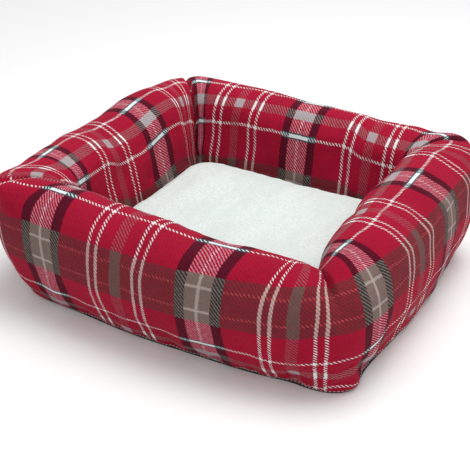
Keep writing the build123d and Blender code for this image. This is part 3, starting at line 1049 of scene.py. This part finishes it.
def hem_stitches():
    path, ups = ring[:, 1].copy(), ring_normals[:, 1]
    path += ups * 0.3 * MM
    path[:, 2] = np.maximum(path[:, 2], PANEL_TOP + 0.8 * MM)
    piece = stitches("hem_stitches", path, ups, 3.0 * MM, 4.6 * MM, 0.45 * MM, closed=True)
    finish(dress(piece, "bed", "thread", "base_seam"), pale_thread)


def corner_stitches(corner):
    """Stitches down the inner crease, from the notch at the crown to the cushion."""
    row = 2 * mitre_of[corner]
    crown = int(np.argmax(ring[row, :, 2]))
    inner = ring[row, crown:-2 * FOOT_HELD]
    ups = ring_normals[row, crown:-2 * FOOT_HELD]
    piece = stitches("corner_stitches_" + corner, inner + ups * 0.2 * MM, ups,
                     3.2 * MM, 4.4 * MM, 0.4 * MM)
    finish(dress(piece, "bed", "thread", "corner_seam_" + corner), red_thread)


def soft_pad(node, inset):
    """Points and faces of a flat pad with soft edges, in a node's box drawn in by an inset."""
    low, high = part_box(node)
    outline = rounded_rectangle(np.array((high - low)[:2]) / 2 - inset, WELL_CORNER)
    middle, rise = (low.z + high.z) / 2, (high.z - low.z) / 2 - inset
    top, bottom = (
        dome(outline, 0.0, [(way_in, share, middle + sign * part * rise)
                            for way_in, share, part in profile], PAD_COLUMNS, PAD_ROWS)
        for profile, sign in ((PAD_TOP, 1), (PAD_BOTTOM, -1))
    )
    points, faces, _ = closed_lens(top, bottom)
    return points, faces


def well_lining():
    """The pocket round the base pad, closed with a closed space inside, and the pad."""
    outer, faces = soft_pad("base_lining", 0.0)
    inner, inner_faces = soft_pad("base_lining", LINING_SKIN)
    faces += [tuple(len(outer) + int(index) for index in face[::-1]) for face in inner_faces]
    piece = new_mesh("well_lining", np.vstack([outer, inner]), faces)
    finish(dress(piece, "bed", "lining_fabric", "base_lining", fill=0.6), lining_material)
    piece = new_mesh("well_pad", *soft_pad("base_pad", LINING_SKIN))
    finish(dress(piece, "bed", "fibre_fill", "base_pad", fill=0.6), fill_material)


def cushion_filling():
    """The fibre inside the cushion: its own shape, drawn in by the thickness of the covers."""
    depth = SHERPA_THICKNESS + 1.4 * MM
    shapes = []
    for grid, sign in ((cushion_top, 1.0), (cushion_bottom, -1.0)):
        inner = grid.copy()
        inner[:, :, :2] = WELL_CENTRE + (grid[:, :, :2] - WELL_CENTRE) * FILLING_SHARE
        rise = np.maximum((grid[:, :, 2] - cushion_seam) * sign - depth, FILLING_LEAST)
        rise[[0, -1], :] = rise[:, [0, -1]] = 0.0
        inner[:, :, 2] = cushion_seam + sign * rise
        shapes.append(inner)
    points, faces, _ = closed_lens(*shapes)
    piece = new_mesh("cushion_filling", points, faces)
    finish(dress(piece, "cushion", "fibre_fill", "cushion_fill", fill=0.7), fill_material)


def cushion_stitches():
    """The thread that closes the cushion, in stitches round its edge."""
    grid = refined(cushion_top, wrap_rows=False)
    path = grid.reshape(-1, 3)[edge_loop(*grid.shape[:2])]
    out = path.copy()
    out[:, :2] -= WELL_CENTRE
    out[:, 2] = 0.0
    out /= np.linalg.norm(out, axis=1, keepdims=True)
    piece = stitches("cushion_stitches", path - out * 0.2 * MM, out,
                     3.4 * MM, 4.6 * MM, 0.5 * MM, closed=True)
    finish(dress(piece, "cushion", "thread", "cushion_edge_seam"), white_thread)


base_panel()
hem_stitches()
for corner in mitre_of:
    corner_stitches(corner)
well_lining()
cushion_filling()
cushion_stitches()


# ---- floor, light and camera ----
FLOOR_HALF = 4.0
CAMERA_AZIMUTH, CAMERA_ELEVATION = 30.61, 29.29     # degrees
CAMERA_PLACE = (0.5716, -0.9979, 0.6951)            # from the well's middle, on the floor
CAMERA_LENS, CAMERA_SENSOR = 79.55, 36.0            # in mm
WORLD_STRENGTH = 0.68
SOFTBOXES = (                   # name, place, size and power of each lamp
    ("overhead", (0.25, 0.35, 2.0), 1.2, 30.0),
    ("front_right", (1.3, -1.9, 1.5), 1.0, 7.0),
)


def camera():
    azimuth, elevation = radians(CAMERA_AZIMUTH), radians(CAMERA_ELEVATION)
    level = Vector((sin(azimuth), -cos(azimuth), 0.0))
    back = level * cos(elevation) + Vector((0.0, 0.0, sin(elevation)))
    data = bpy.data.cameras.new("camera")
    data.lens = CAMERA_LENS
    data.sensor_width = CAMERA_SENSOR
    piece = bpy.data.objects.new("camera", data)
    bpy.context.scene.collection.objects.link(piece)
    piece.location = Vector((*WELL_CENTRE, 0.0)) + Vector(CAMERA_PLACE)
    piece.rotation_mode = "QUATERNION"
    piece.rotation_quaternion = (-back).to_track_quat("-Z", "Y")
    bpy.context.scene.camera = piece


def floor():
    corners = [(-1, -1, 0), (1, -1, 0), (1, 1, 0), (-1, 1, 0)]
    piece = new_mesh("floor", [FLOOR_HALF * np.array(corner) for corner in corners], [(0, 1, 2, 3)])
    finish(piece, floor_paper())


def lights():
    world = bpy.data.worlds.new("studio")
    world.use_nodes = True
    background = world.node_tree.nodes["Background"]
    background.inputs["Color"].default_value = (1, 1, 1, 1)
    background.inputs["Strength"].default_value = WORLD_STRENGTH
    bpy.context.scene.world = world
    for name, place, size, power in SOFTBOXES:
        data = bpy.data.lights.new(name, "AREA")
        data.size = size
        data.energy = power
        lamp = bpy.data.objects.new(name, data)
        bpy.context.scene.collection.objects.link(lamp)
        lamp.location = place
        aim = Vector((*WELL_CENTRE, 0.08)) - lamp.location
        lamp.rotation_mode = "QUATERNION"
        lamp.rotation_quaternion = aim.to_track_quat("-Z", "Y")


floor()
lights()
camera()
bpy.context.scene.view_settings.view_transform = "Standard"
